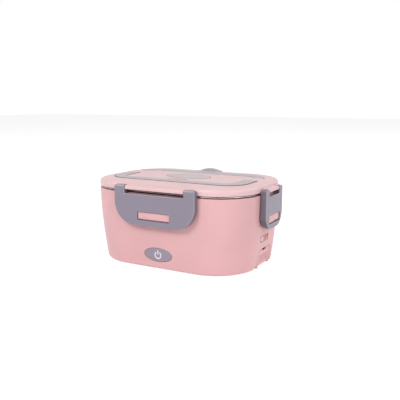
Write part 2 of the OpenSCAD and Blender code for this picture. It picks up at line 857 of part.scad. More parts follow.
// outline (x, z) of a clip, inset evenly
module clip_outline(w, low, high, r, inset) {
    hw = w / 2 - inset;
    z0 = low + inset;
    z1 = high - inset;
    top_r = 3;
    translate([-hw, z0 + r]) square([2 * hw, z1 - z0 - r - top_r]);
    translate([-(hw - r), z0]) square([2 * (hw - r), r + eps]);
    translate([-(hw - top_r), z1 - top_r - eps]) square([2 * (hw - top_r), top_r + eps]);
    for (s = [-1, 1]) {
        translate([s * (hw - r), z0 + r]) circle(r);
        translate([s * (hw - top_r), z1 - top_r]) circle(top_r);
    }
}

slot_drop = 6.5;    // from the pin down to the hinge slot's lower edge
flange_gap = 0.6;   // between a clip's flange and the rim outline

// clip drawn for a wall facing -Y: plate with window and slot, a flange round it and two knuckles
module clip(half, out, knuckle_r, pin_z, w, slot_w, low, r, window_w, bar_h) color(grey) {
    face = -(half + out);
    pin_y = clip_pin_y(half, out, knuckle_r);
    back = -(half + flange_gap);
    high = pin_z + knuckle_r;
    slot_low = pin_z - slot_drop;
    window_low = low + bar_h;
    difference() {
        union() {
            along_y(face, face + clip_t) difference() {
                clip_outline(w, low, high, r, 0);
                translate([-w, pin_z]) square([2 * w, 20]);
            }
            along_y(face, back) difference() {
                clip_outline(w, low, high, r, 0);
                clip_outline(w, low, high, r - clip_t, clip_t);
                translate([-w, pin_z]) square([2 * w, 20]);
            }
            // inner walls of the two arms
            for (s = [-1, 1])
                translate([s > 0 ? slot_w / 2 : -slot_w / 2 - clip_t, face, slot_low - clip_t])
                    cube([clip_t, back - face - 1, pin_z - slot_low + clip_t]);
            intersection() {
                union() {
                    rod_x(-w / 2, w / 2, pin_y, pin_z, knuckle_r);
                    translate([-w / 2, face, pin_z - knuckle_r]) cube([w, knuckle_r, knuckle_r]);
                }
                along_y(face, back + 1) clip_outline(w, low, high, r, 0);
            }
        }
        // hinge slot between the arms
        translate([-slot_w / 2, face - 1, slot_low]) cube([slot_w, 20, 40]);
        // window for the catch
        along_y(face - 1, face + 20) translate([0, window_low + window_h / 2])
            rounded(window_w / 2, window_h / 2, 1.2);
        // the lower flange is cut back behind the bar, so that it passes the catch
        translate([-window_w / 2 - 1, back - 1.8, low - 1]) cube([window_w + 2, 20, bar_h + window_h]);
        rod_x(-w / 2 + 0.9, w / 2 - 0.9, pin_y, pin_z, clip_pin_r + pin_gap);
    }
}

// the two sizes of clip and pin
module long_clip_pin() clip_pin(body_w / 2, front_clip_out, front_knuckle_r, front_pin_z, front_clip_w);
module short_clip_pin() clip_pin(body_l / 2, end_clip_out, end_knuckle_r, end_pin_z, end_clip_w);
module long_clip() clip(body_w / 2, front_clip_out, front_knuckle_r, front_pin_z, front_clip_w,
    front_slot_w, front_clip_low, front_clip_r, front_window_w, front_bar_h);
module short_clip() clip(body_l / 2, end_clip_out, end_knuckle_r, end_pin_z, end_clip_w,
    end_slot_w, end_clip_low, end_clip_r, end_window_w, end_bar_h);

module front_clip_pin() front_side() long_clip_pin();
module back_clip_pin() back_side() long_clip_pin();
module left_clip_pin() left_side() short_clip_pin();
module right_clip_pin() right_side() short_clip_pin();

module front_clip() front_side() long_clip();
module back_clip() back_side() long_clip();
module left_clip() left_side() short_clip();
module right_clip() right_side() short_clip();

body_shell();
bottom_cover();
rubber_feet();
cover_screws();
heater_well();
heating_plate();
ptc_heater();
heater_bracket();
bracket_screws();
thermostat();
thermal_fuse();
control_board();
board_screws();
tact_switch();
indicator_led();
power_inlet();
inlet_pins();
steel_container();
door_pin();
side_label();
power_button();
socket_door();
lid_shell();
inner_lid();
lid_seal();
handle_pins();
back_trim();
vent_plug();
lid_handle();
front_clip_pin();
back_clip_pin();
left_clip_pin();
right_clip_pin();
front_clip();
back_clip();
left_clip();
right_clip();
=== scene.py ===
import math

import bmesh
import bpy
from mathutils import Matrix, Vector


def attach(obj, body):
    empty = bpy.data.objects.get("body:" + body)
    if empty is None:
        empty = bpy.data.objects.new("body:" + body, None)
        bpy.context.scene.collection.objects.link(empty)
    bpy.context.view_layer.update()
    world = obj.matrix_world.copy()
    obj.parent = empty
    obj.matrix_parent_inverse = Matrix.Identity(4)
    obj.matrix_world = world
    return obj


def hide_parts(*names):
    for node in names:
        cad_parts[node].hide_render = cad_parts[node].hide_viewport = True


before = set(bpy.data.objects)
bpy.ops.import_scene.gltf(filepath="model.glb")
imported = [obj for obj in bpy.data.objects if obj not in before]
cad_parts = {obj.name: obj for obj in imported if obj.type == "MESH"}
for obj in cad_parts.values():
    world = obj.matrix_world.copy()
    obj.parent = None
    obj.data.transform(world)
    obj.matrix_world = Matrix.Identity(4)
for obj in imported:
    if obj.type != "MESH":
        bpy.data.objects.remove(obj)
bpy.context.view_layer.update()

# ---------- sizes, in millimetres, as in the CAD where it has them ----------

MM = 0.001
GAP = 0.3               # between pieces that move against each other
SHADOW_GAP = 0.8        # the same gap where it is shown wider
CUT_PAST = 130.0        # where a cut through the right end wall ends
MERGE_DISTANCE = 1e-7   # metres

# Case: rim, corners, how the walls lean in, edges, deck, the container's lip, the step under the socket.
HALF_L, HALF_W, TOP = 110.0, 77.0, 91.8
CORNER_R, CORNER_GAIN, CORNER_STEPS = 53.0, 2.5, 24
LEAN_L, LEAN_W, LEAN_CURVE = 6.1, 3.6, 1.72
FOOT_H, EDGE_R, RIM_EDGE_R, WALL = 1.0, 1.8, 0.7, 2.5
DECK_Z, LIP_Z, LIP_OUTER, LIP_INNER = 88.6, 93.3, 4.2, 10.2
STEP_HALF, STEP_Z, STEP_FROM = 27.0, 3.8, 80.0

# Container: tub, the bend out to its flange, the rolled rim, and the flange's underside.
TUB_INSET, STEEL_T, TUB_BOTTOM, TUB_ROUND, TUB_MIDDLE = 11.0, 0.8, 37.0, 12.0, 60.0
BEND_R, BEND_Z = 1.2, 92.9
RIM_TOP, RIM_INSET, RIM_FLAT, RIM_INNER = 94.1, 1.6, 1.4, 3.2
ROLL_R, ROLL_Z, FLANGE_Z = 0.6, 93.5, 93.32

# Lid: its lower edge, side, shoulder and crown.
LID_Z, LID_H, LID_SIDE_H, LID_WALL = 94.8, 9.4, 4.0, 2.4
LID_TOP, CAVITY_TOP = LID_Z + LID_H, 98.3
SHOULDER_R, CROWN_RUN = 4.2, 22.0
LID_EDGE = ((0.0, 0.5), (0.25, 0.15), (0.7, 0.0))       # height and inset
# Dark rings of painted shade that fill the seam's gaps under and over the steel rim.
SEAM_SHADE_RINGS = (      # name, body, slot, outer and inner inset, lower and upper height
    ("seam_shade_case", "base", "pink_case", 2.3, 4.1, TOP - 0.1, 92.8),
    ("seam_shade_lid", "lid", "pink_lid", 1.2, 2.3, RIM_TOP + 0.2, LID_Z + 0.1))

# Oval ring in the lid: the handle in front, the trim and its thumb tab at the back.
RING_L, RING_W, RING_R, BAND_W = 93.5, 50.5, 28.0, 15.0
HANDLE_Z, HANDLE_T, HANDLE_END, HANDLE_CORNER = 100.4, 3.6, 5.8, 1.6
HANDLE_LOW_R, HANDLE_HIGH_R = 0.5, 0.9
GRIP_TOP, GRIP_END, GRIP_CORNER, GRIP_HIGH_R = 104.9, 1.0, 3.0, 0.6
# The handle's groove is lined with a thin dark ring: painted shade at the handle's foot.
GROOVE_SHADE_GAP, GROOVE_SHADE_END, GROOVE_SHADE_RISE = 0.25, 3.0, 0.4
TRIM_Y, TRIM_T, TRIM_PROUD, TRIM_HIGH_R = 28.0, 2.4, 0.7, 0.6
TAB_HALF, TAB_H, TAB_T, TAB_Y = 17.5, 4.2, 4.5, 65.0
TAB_SINK, TAB_SPAN, TAB_MIN_H, TAB_MAX_R, TAB_R_SHARE = 0.6, 0.985, 0.02, 1.3, 0.7
TONGUE_R, TONGUE_DROP, TONGUE_GAP = 2.0, 0.02, 0.1
FINGER_HALF, FINGER_REACH, FINGER_R, FINGER_BACK = 14.0, 7.5, 6.5, 5.5

# Vent plug. Its rows are height over LID_TOP + PLUG_PROUD and inset.
PLUG_L, PLUG_W, PLUG_T, PLUG_PROUD = 30.5, 17.5, 2.9, 1.2
STEM_R, STEM_EDGE = 5.0, 0.6
PLUG_ROWS = ((-PLUG_T, 0.6), (-2.6, 0.1), (-2.2, 0.0), (-0.9, 0.0), (-0.45, 0.15), (-0.15, 0.5),
             (-0.02, 1.0), (0.05, 2.0), (0.2, 6.0), (0.3, 11.0))

# Button. Its rows are inset and distance out of the wall, its pairs are ranges of y.
BUTTON_CUT_Y = (-90.0, -60.0)
BUTTON_Z, BUTTON_W, BUTTON_H, BUTTON_PROUD = 18.2, 39.0, 17.0, 0.4
BUTTON_ROWS = ((0, -3.4), (0, -0.6), (0.12, -0.2), (0.4, 0.1), (0.8, 0.25), (2.0, 0.33), (4.5, 0.38),
               (7.5, BUTTON_PROUD))
BUTTON_FLANGE, BUTTON_FLANGE_Y = 1.2, (-69.9, -70.9)
BUTTON_STEM_R, BUTTON_STEM_Y = 3.0, (-68.0, -69.9)
SIGN_R, SIGN_HALF, SIGN_LOW, SIGN_HIGH, SIGN_DROP = 4.1, 0.8, 0.25, 0.5, 0.3
SIGN_TAPER, SIGN_START, SIGN_END = 0.8, 122, 418
BAR_LOW, BAR_STEP, BAR_POINTS = 0.7, 1.05, 6

# Socket door, its barrel, ribs, notch and frame. Its rows are inset and distance out of the wall.
DOOR_HALF, DOOR_TOP, DOOR_R, DOOR_T, DOOR_GAP, DOOR_FOOT = 19.0, 22.5, 4.0, 1.8, 0.7, 1.2
DOOR_MIDDLE, DOOR_HALF_H = 13.0, 9.5
DOOR_CUT_FROM, NOTCH_CUT_FROM, FRAME_CUT_FROM = 98.0, 94.0, 90.0
DOOR_ROWS = ((0.5, -DOOR_T), (0, -DOOR_T + 0.3), (0, -0.3), (0.12, -0.1), (0.4, 0.0))
DOOR_PIN_X, DOOR_PIN_Z = 102.91, 4.6
DOOR_STEP, CORNER_CUT_X, CORNER_CUT_Y, CORNER_CUT_Z = 2.5, 6.0, 36.0, 6.46
BARREL_R, BARREL_HALF, BARREL_EDGE = 1.5, 16.1, 0.3
RIB_HALF, RIB_PITCH, RIB_ROOT, RIB_PROUD = 0.7, 4.2, -0.2, 0.28
RIB_HEIGHTS = (6.6, 7.0, 9.0, 11.0, 13.0, 15.0, 16.6, 17.0)
NOTCH_HALF, NOTCH_H, NOTCH_R, NOTCH_DROP = 5.6, 1.6, 1.5, 0.3
FRAME_HALF, FRAME_LOW, FRAME_TOP, FRAME_DEPTH = 22.0, 4.2, 26.0, 4.2

# Label on the end wall: film, cells and the orange patch, as y and z ranges, and how far out each lies.
FILM = (-17, 10, 32, 41)
FILM_OUT, LINE_OUT, ORANGE_OUT = (-0.2, 0.2), (0.1, 0.25), (0.1, 0.24)
CELLS = ((-15.5, -5.0, 32.6, 40.4), (-3.0, 8.5, 32.6, 40.4))
CELL_LINE_Y, CELL_LINE_Z = 1.0, 0.7
ORANGE_CELL = (-1.8, 7.3, 34.2, 39.5)

# Clips, their catches on the case, and the ledges on the lid that carry them.
CLIP_T, CLIP_EDGE, CLIP_BACK_EDGE, FLANGE_GAP = 2.0, 1.1, 0.3, 0.6
EAR_R, SLOT_R, SLOT_DROP, KNUCKLE_GAP = 3.0, 1.2, 6.5, 0.1
CLIP_STEPS, EAR_STEPS, SLOT_STEPS = 16, 6, 4
WINDOW_H, WINDOW_R, WINDOW_RELIEF = 10.0, 1.2, 1.8
CATCH_HOOK, HOOK_RISE, CATCH_EDGE, CATCH_GAP = 1.1, 1.21, 0.4, 0.5
LEDGE_BEHIND, LEDGE_EDGE, LEDGE_DOWN, LEDGE_ROOT, LEDGE_GAP = 0.8, 0.6, 2.0, 4.0, 0.5
LEDGE_RAMP = ((1.6, 0.05), (0.4, 0.25), (-0.6, 0.65), (-2.0, 1.2))      # out from the rim, up

FRONT = dict(turn=0, half=HALF_W, out=7.5, knuckle=3.4, pin=98.2, w=110.8, slot=81.6, low=54.0, r=27.0,
             window=44.0, bar=7.0, finish="grey_clip_long_painted_light")
BACK = dict(FRONT, turn=180)
RIGHT = dict(turn=90, half=HALF_L, out=8.5, knuckle=2.8, pin=96.4, w=52.0, slot=33.0, low=50.0, r=18.0,
             window=34.0, bar=6.8, finish="grey_clip_end_painted_light")
LEFT = dict(RIGHT, turn=-90)
SIDES = {"front": FRONT, "back": BACK, "left": LEFT, "right": RIGHT}


# ---------- camera, light and floor, in metres ----------

EYE, TARGET = Vector((0.3456, -0.6020, 0.1994)), Vector((-0.0955, 0.2051, 0.0322))
SENSOR_MM, LENS_MM = 36.0, 48.83
LIGHT_TARGET = Vector((0, 0, 0.05))
LIGHTS = (      # name, place, diameter, watts
    ("key", (-0.5, -1.6, 1.5), 0.9, 23),
    ("fill", (1.7, -0.7, 0.9), 1.2, 13),
    ("back", (1.3, 1.6, 1.5), 1.5, 10))
AMBIENT, FLOOR_GREY, FLOOR_LIFT, FLOOR_HALF = 0.36, 0.86, 0.62, 6.0


def make_camera():
    """The photograph's view."""
    data = bpy.data.cameras.new("photo_camera")
    camera = bpy.data.objects.new("photo_camera", data)
    bpy.context.scene.collection.objects.link(camera)
    camera.location = EYE
    camera.rotation_euler = (TARGET - EYE).to_track_quat("-Z", "Y").to_euler()
    data.sensor_width, data.lens = SENSOR_MM, LENS_MM
    data.clip_start, data.clip_end = 0.01, 30.0
    bpy.context.scene.camera = camera


def area_light(name, place, size, power):
    data = bpy.data.lights.new(name, "AREA")
    data.shape, data.size, data.energy = "DISK", size, power
    light = bpy.data.objects.new(name, data)
    bpy.context.scene.collection.objects.link(light)
    light.location = place
    light.rotation_euler = (LIGHT_TARGET - Vector(place)).to_track_quat("-Z", "Y").to_euler()


def seen_ray(nodes, links):
    """A factor that is 1 for camera, glossy and transmission rays."""
    path = nodes.new("ShaderNodeLightPath")
    first = nodes.new("ShaderNodeMath")
    second = nodes.new("ShaderNodeMath")
    first.operation = second.operation = "MAXIMUM"
    links.new(path.outputs["Is Camera Ray"], first.inputs[0])
    links.new(path.outputs["Is Glossy Ray"], first.inputs[1])
    links.new(first.outputs[0], second.inputs[0])
    links.new(path.outputs["Is Transmission Ray"], second.inputs[1])
    return second.outputs[0]


def make_world():
    """White where it is seen, and a weaker white as light."""
    world = bpy.data.worlds.new("studio")
    bpy.context.scene.world = world
    world.use_nodes = True
    nodes, links = world.node_tree.nodes, world.node_tree.links
    nodes.clear()
    ambient = nodes.new("ShaderNodeBackground")
    ambient.inputs["Color"].default_value = (1, 1, 1, 1)
    ambient.inputs["Strength"].default_value = AMBIENT
    white = nodes.new("ShaderNodeBackground")
    white.inputs["Color"].default_value = (1, 1, 1, 1)
    white.inputs["Strength"].default_value = 1.0
    mix = nodes.new("ShaderNodeMixShader")
    out = nodes.new("ShaderNodeOutputWorld")
    links.new(seen_ray(nodes, links), mix.inputs["Fac"])
    links.new(ambient.outputs[0], mix.inputs[1])
    links.new(white.outputs[0], mix.inputs[2])
    links.new(mix.outputs[0], out.inputs["Surface"])


def make_floor():
    """Wide white floor that keeps the object's soft shadow."""
    mesh = bpy.data.meshes.new("floor")
    s = FLOOR_HALF
    mesh.from_pydata([(-s, -s, 0), (s, -s, 0), (s, s, 0), (-s, s, 0)], [], [(0, 1, 2, 3)])
    floor = bpy.data.objects.new("floor", mesh)
    bpy.context.scene.collection.objects.link(floor)
    material = bpy.data.materials.new("floor_white")
    material.use_nodes = True
    nodes, links = material.node_tree.nodes, material.node_tree.links
    nodes.clear()
    diffuse = nodes.new("ShaderNodeBsdfDiffuse")
    diffuse.inputs["Color"].default_value = (FLOOR_GREY, FLOOR_GREY, FLOOR_GREY, 1)
    lift = nodes.new("ShaderNodeEmission")
    lift.inputs["Strength"].default_value = FLOOR_LIFT
    add = nodes.new("ShaderNodeAddShader")
    mix = nodes.new("ShaderNodeMixShader")
    out = nodes.new("ShaderNodeOutputMaterial")
    links.new(diffuse.outputs[0], add.inputs[0])
    links.new(lift.outputs[0], add.inputs[1])
    links.new(seen_ray(nodes, links), mix.inputs["Fac"])
    links.new(diffuse.outputs[0], mix.inputs[1])
    links.new(add.outputs[0], mix.inputs[2])
    links.new(mix.outputs[0], out.inputs["Surface"])
    mesh.materials.append(material)


# ---------- materials ----------

NOISE_LOW, NOISE_HIGH = 0.3, 0.7
MOTTLE_SCALE, MOTTLE_DARK, MOTTLE_PALE = 22.0, 0.965, 1.03
GLOSS_SCALE, GLOSS_SPREAD = 70.0, 0.04
BRUSH_DARK, BRUSH_DEPTH, BRUSH_SMOOTHER, BRUSH_ROUGHER = 0.88, 0.12, 0.06, 0.08
# Clip greys: a painted shade on the sides and a painted highlight on the rounded edges, both chosen by the
# normal.
CLIP_ROUGH, EDGE_HIGHLIGHT_GREY, PAINTED_LIGHT_SHARE = 0.38, (178, 170, 180), 0.7
SHADED_SIDE_STOP, HIGHLIGHT_STOPS, FACE_STOP = 0.2, (0.45, 0.82), 0.96
MOULDED = {
    "pink_case": dict(rgb=(229, 178, 181), rough=0.42),
    "pink_lid": dict(rgb=(233, 196, 198), rough=0.42),
    # painted shade: the dark colour of the rings in the seam's gaps
    "seam_painted_shade": dict(rgb=(84, 56, 61), rough=0.6, specular=0.2),
    # painted shade: the dark colour of the ring in the handle's groove
    "groove_painted_shade": dict(rgb=(116, 86, 93), rough=0.6, specular=0.2),
    # painted shade: a darker copy of the case pink, for the frame inside the wall and the door's ribs
    "pink_painted_shade": dict(rgb=(208, 152, 156), rough=0.45),
    "grey_button": dict(rgb=(152, 143, 156), rough=0.45, grain=2200.0, depth=0.06),
    "light_grey": dict(rgb=(184, 177, 180), rough=0.40),
    "plug_silicone": dict(rgb=(201, 193, 195), rough=0.55, grain=2600.0, depth=0.06),
    "seal_silicone": dict(rgb=(226, 222, 220), rough=0.6, grain=2600.0, depth=0.05),
    "white_plastic": dict(rgb=(232, 228, 226), rough=0.42),
    "black_plastic": dict(rgb=(34, 33, 36), rough=0.45),
    "foot_rubber": dict(rgb=(62, 60, 64), rough=0.75, grain=2000.0, depth=0.2),
    "heater_ceramic": dict(rgb=(226, 218, 200), rough=0.7, grain=900.0, depth=0.3),
    "board_green": dict(rgb=(38, 104, 66), rough=0.35),
    "led_white": dict(rgb=(240, 240, 232), rough=0.15, grain=300.0, depth=0.02),
    "symbol_white": dict(rgb=(244, 232, 242), rough=0.5, grain=2600.0, depth=0.03),
    "label_film": dict(rgb=(230, 192, 194), rough=0.4, grain=2600.0, depth=0.04),
    "label_line": dict(rgb=(92, 52, 58), rough=0.6, grain=2600.0, depth=0.03, specular=0.1),
    "label_orange": dict(rgb=(228, 124, 84), rough=0.5, grain=2600.0, depth=0.03),
}
BRUSHED = {
    "container_steel": dict(rgb=(206, 204, 205), rough=0.26, stretch=(0.15, 1.0, 6.0), grain=500.0),
    "screw_steel": dict(rgb=(190, 190, 192), rough=0.3, stretch=(1.0, 1.0, 1.0), grain=1500.0),
    "aluminium": dict(rgb=(200, 201, 204), rough=0.45, stretch=(1.0, 1.0, 1.0), grain=700.0),
}
# face: the clip's own grey; side: a darker copy of it, painted shade on the sides and flanges
CLIP_GREYS_PAINTED_LIGHT = {
    "grey_clip_long_painted_light": dict(axis="Y", face=(141, 133, 149), side=(114, 106, 120)),
    "grey_clip_end_painted_light": dict(axis="X", face=(143, 134, 148), side=(88, 80, 92)),
}


def linear(rgb):
    """An sRGB colour of 0 to 255 as linear values with alpha."""
    out = [c / 255 / 12.92 if c <= 10 else ((c / 255 + 0.055) / 1.055) ** 2.4 for c in rgb]
    return (*out, 1.0)


def shader(name):
    material = bpy.data.materials.new(name)
    material.use_nodes = True
    tree = material.node_tree
    return material, tree.nodes, tree.links, tree.nodes["Principled BSDF"]


def noise(nodes, links, scale, detail, stretch=None):
    """A noise over the object's own coordinates, which are metres."""
    place = nodes.new("ShaderNodeTexCoord")
    texture = nodes.new("ShaderNodeTexNoise")
    texture.inputs["Scale"].default_value = scale
    texture.inputs["Detail"].default_value = detail
    if stretch:
        mapping = nodes.new("ShaderNodeMapping")
        mapping.inputs["Scale"].default_value = stretch
        links.new(place.outputs["Object"], mapping.inputs["Vector"])
        links.new(mapping.outputs[0], texture.inputs["Vector"])
    else:
        links.new(place.outputs["Object"], texture.inputs["Vector"])
    return texture.outputs["Fac"]


def spread(nodes, links, factor, low, high):
    """The middle range of a noise, spread between two values."""
    ranged = nodes.new("ShaderNodeMapRange")
    ranged.inputs["From Min"].default_value = NOISE_LOW
    ranged.inputs["From Max"].default_value = NOISE_HIGH
    ranged.inputs["To Min"].default_value = low
    ranged.inputs["To Max"].default_value = high
    links.new(factor, ranged.inputs["Value"])
    return ranged.outputs[0]


def blend_colours(nodes, links, factor, first, second):
    mix = nodes.new("ShaderNodeMix")
    mix.data_type = "RGBA"
    links.new(factor, mix.inputs["Factor"])
    mix.inputs["A"].default_value = first
    mix.inputs["B"].default_value = second
    return mix.outputs["Result"]


def bump(nodes, links, height, strength, distance):
    node = nodes.new("ShaderNodeBump")
    node.inputs["Strength"].default_value = strength
    node.inputs["Distance"].default_value = distance
    links.new(height, node.inputs["Height"])
    return node.outputs["Normal"]


def moulded(name, rgb, rough, grain=1400.0, depth=0.10, specular=0.5):
    """Moulded plastic or rubber: a fine eroded grain, faint mottling and an uneven gloss."""
    material, nodes, links, bsdf = shader(name)
    cloud = spread(nodes, links, noise(nodes, links, MOTTLE_SCALE, 3.0), 0.0, 1.0)
    dark = [c * MOTTLE_DARK for c in linear(rgb)[:3]]
    pale = [min(1.0, c * MOTTLE_PALE) for c in linear(rgb)[:3]]
    links.new(blend_colours(nodes, links, cloud, (*dark, 1), (*pale, 1)), bsdf.inputs["Base Color"])
    patches = noise(nodes, links, GLOSS_SCALE, 3.0)
    gloss = spread(nodes, links, patches, rough - GLOSS_SPREAD, rough + GLOSS_SPREAD)
    links.new(gloss, bsdf.inputs["Roughness"])
    links.new(bump(nodes, links, noise(nodes, links, grain, 2.0), depth, 0.0003), bsdf.inputs["Normal"])
    bsdf.inputs["Specular IOR Level"].default_value = specular
    return material


def brushed(name, rgb, rough, stretch, grain):
    """Metal with brush marks along one way."""
    material, nodes, links, bsdf = shader(name)
    lines = noise(nodes, links, grain, 3.0, stretch)
    tone = spread(nodes, links, lines, 0.0, 1.0)
    dark = [c * BRUSH_DARK for c in linear(rgb)[:3]]
    links.new(blend_colours(nodes, links, tone, (*dark, 1), linear(rgb)), bsdf.inputs["Base Color"])
    gloss = spread(nodes, links, lines, rough - BRUSH_SMOOTHER, rough + BRUSH_ROUGHER)
    links.new(gloss, bsdf.inputs["Roughness"])
    links.new(bump(nodes, links, lines, BRUSH_DEPTH, 0.0002), bsdf.inputs["Normal"])
    bsdf.inputs["Metallic"].default_value = 1.0
    return material


def clip_grey_painted_light(name, axis, face, side):
    """Moulded grey with painted shade on its sides and a painted highlight on its edges: the tone follows
    the normal along one axis.
    """
    material = moulded(name, face, CLIP_ROUGH)
    nodes, links = material.node_tree.nodes, material.node_tree.links
    bsdf = nodes["Principled BSDF"]
    place = nodes.new("ShaderNodeTexCoord")
    parts = nodes.new("ShaderNodeSeparateXYZ")
    size = nodes.new("ShaderNodeMath")
    size.operation = "ABSOLUTE"
    links.new(place.outputs["Normal"], parts.inputs[0])
    links.new(parts.outputs[axis], size.inputs[0])
    # The ramp paints shade on the sides, a pale highlight on the rounded edges and the clip's own grey on
    # the face.
    ramp = nodes.new("ShaderNodeValToRGB")
    stops = ramp.color_ramp.elements
    stops[0].position, stops[0].color = SHADED_SIDE_STOP, linear(side)
    stops[1].position, stops[1].color = FACE_STOP, linear(face)
    for at in HIGHLIGHT_STOPS:
        stops.new(at).color = linear(EDGE_HIGHLIGHT_GREY)
    mix = nodes.new("ShaderNodeMix")
    mix.data_type = "RGBA"
    mix.inputs["Factor"].default_value = PAINTED_LIGHT_SHARE
    links.new(bsdf.inputs["Base Color"].links[0].from_socket, mix.inputs["A"])
    links.new(size.outputs[0], ramp.inputs["Fac"])
    links.new(ramp.outputs["Color"], mix.inputs["B"])
    links.new(mix.outputs["Result"], bsdf.inputs["Base Color"])
    return material


def make_materials():
    made = {name: moulded(name, **look) for name, look in MOULDED.items()}
    made.update({name: brushed(name, **look) for name, look in BRUSHED.items()})
    made.update({name: clip_grey_painted_light(name, **look) for name, look in CLIP_GREYS_PAINTED_LIGHT.items()})
    return made


# ---------- mesh helpers ----------

def angles(start, end, n):
    """n + 1 angles from start to end: degrees in, radians out."""
    return [math.radians(start + (end - start) * i / n) for i in range(n + 1)]


def arc(cx, cy, r, start, end, n):
    """Points along an arc, ends included. Angles are in degrees."""
    return [(cx + r * math.cos(t), cy + r * math.sin(t)) for t in angles(start, end, n)]


def rounded(hl, hw, r, n):
    """Outline of a rounded rectangle, counter-clockwise."""
    points = []
    for sx, sy, start in ((1, 1, 0), (-1, 1, 90), (-1, -1, 180), (1, -1, 270)):
        points += arc(sx * (hl - r), sy * (hw - r), r, start, start + 90, n)
    return points


def ellipse(hl, hw, n=72):
    turn = [2 * math.pi * i / n for i in range(n)]
    return [(hl * math.cos(t), hw * math.sin(t)) for t in turn]


def loft(loops, ring=False):
    """Faces between loops of equal length, with end caps, or with the last loop joined to the first."""
    n, rows = len(loops[0]), len(loops)
    verts = [p for loop in loops for p in loop]
    faces = []
    for j in range(rows if ring else rows - 1):
        a, b = j * n, (j + 1) % rows * n
        faces += [(a + i, a + (i + 1) % n, b + (i + 1) % n, b + i) for i in range(n)]
    if not ring:
        faces.append(tuple(range(n - 1, -1, -1)))
        faces.append(tuple((rows - 1) * n + i for i in range(n)))
    return verts, faces


def flat_loop(points, z):
    return [(x, y, z) for x, y in points]


def solid_z(outline, z0, z1):
    """A prism that stands on an outline."""
    return loft([flat_loop(outline, z0), flat_loop(outline, z1)])


def solid_y(outline, y0, y1):
    """A prism along Y from an outline drawn as (x, z)."""
    return loft([[(x, y, z) for x, z in outline] for y in (y1, y0)])


def solid_x(outline, x0, x1):
    """A prism along X from an outline drawn as (y, z)."""
    return loft([[(x, y, z) for y, z in outline] for x in (x0, x1)])


def box(x0, x1, y0, y1, z0, z1):
    return solid_z([(x0, y0), (x1, y0), (x1, y1), (x0, y1)], z0, z1)


def hoop(outer, inner, low, top):
    """A hoop between an outer and an inner outline."""
    corners = ((outer, low), (outer, top), (inner, top), (inner, low))
    return loft([flat_loop(outline, z) for outline, z in corners], ring=True)


def joined(*parts):
    """Several meshes as one."""
    verts, faces = [], []
    for v, f in parts:
        base = len(verts)
        verts += v
        faces += [tuple(i + base for i in face) for face in f]
    return verts, faces


def turned(part, degrees):
    """The mesh turned about the Z axis."""
    a = math.radians(degrees)
    c, s = round(math.cos(a), 9), round(math.sin(a), 9)
    verts, faces = part
    return [(x * c - y * s, x * s + y * c, z) for x, y, z in verts], faces


def turn_object(obj, degrees):
    """Turns an object's mesh about the Z axis by a multiple of 90 degrees."""
    a = math.radians(degrees)
    c, s = round(math.cos(a)), round(math.sin(a))
    for v in obj.data.vertices:
        x, y, z = v.co
        v.co = (x * c - y * s, x * s + y * c, z)


def new_object(name, part):
    verts, faces = part
    mesh = bpy.data.meshes.new(name)
    mesh.from_pydata([Vector(v) * MM for v in verts], [], faces)
    bm = bmesh.new()
    bm.from_mesh(mesh)
    bmesh.ops.remove_doubles(bm, verts=bm.verts, dist=MERGE_DISTANCE)
    bmesh.ops.recalc_face_normals(bm, faces=bm.faces)
    bm.to_mesh(mesh)
    bm.free()
    obj = bpy.data.objects.new(name, mesh)
    bpy.context.scene.collection.objects.link(obj)
    return obj


def apply_modifiers(obj):
    graph = bpy.context.evaluated_depsgraph_get()
    mesh = bpy.data.meshes.new_from_object(obj.evaluated_get(graph))
    obj.modifiers.clear()
    obj.data = mesh


def cut(obj, *parts):
    """Takes meshes away from an object."""
    tools = [new_object("cutter", part) for part in parts]
    for tool in tools:
        modifier = obj.modifiers.new("cut", "BOOLEAN")
        modifier.object, modifier.operation, modifier.solver = tool, "DIFFERENCE", "EXACT"
    apply_modifiers(obj)
    for tool in tools:
        bpy.data.objects.remove(tool)


def soften(obj, width, segments=2, angle=45):
    """Rounds the edges that are sharper than an angle."""
    modifier = obj.modifiers.new("edge", "BEVEL")
    modifier.width, modifier.segments = width * MM, segments
    modifier.limit_method, modifier.angle_limit = "ANGLE", math.radians(angle)
    modifier.use_clamp_overlap = True
    apply_modifiers(obj)


def dress(obj, body, material, smooth=32):
    """Finishes a piece: shading, material, body and material slot."""
    obj.data.materials.clear()
    obj.data.materials.append(MATERIALS[material])
    obj.data.shade_smooth()
    obj.data.set_sharp_from_angle(angle=math.radians(smooth))
    modifier = obj.modifiers.new("normals", "WEIGHTED_NORMAL")
    modifier.keep_sharp = True
    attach(obj, body)


# ---------- case ----------

def lean(z):
    """How far the walls lean in at a height: 0 at the rim, 1 at the bottom edge."""
    return max(0.0, (TOP - z) / (TOP - FOOT_H)) ** LEAN_CURVE


def case_x(z):
    return HALF_L - LEAN_L * lean(z)


def case_y(z):
    return HALF_W - LEAN_W * lean(z)


def case_corner(z):
    return CORNER_R + CORNER_GAIN * lean(z)


def case_loop(z, inset):
    return flat_loop(rounded(case_x(z) - inset, case_y(z) - inset, case_corner(z) - inset, CORNER_STEPS), z)


def rim_outline(inset):
    """The outline of the case's rim and of the lid, moved inwards."""
    return rounded(HALF_L - inset, HALF_W - inset, CORNER_R - inset, CORNER_STEPS)


def on_front(x, z, out):
    """A point on the case's front face, moved outwards."""
    return (x, -(case_y(z) + out), z)


def on_end(y, z, out):
    """A point on the case's right end wall, moved outwards."""
    r = case_corner(z)
    past = max(0.0, abs(y) - (case_y(z) - r))
    return (case_x(z) - r + math.sqrt(r * r - past * past) + out, y, z)


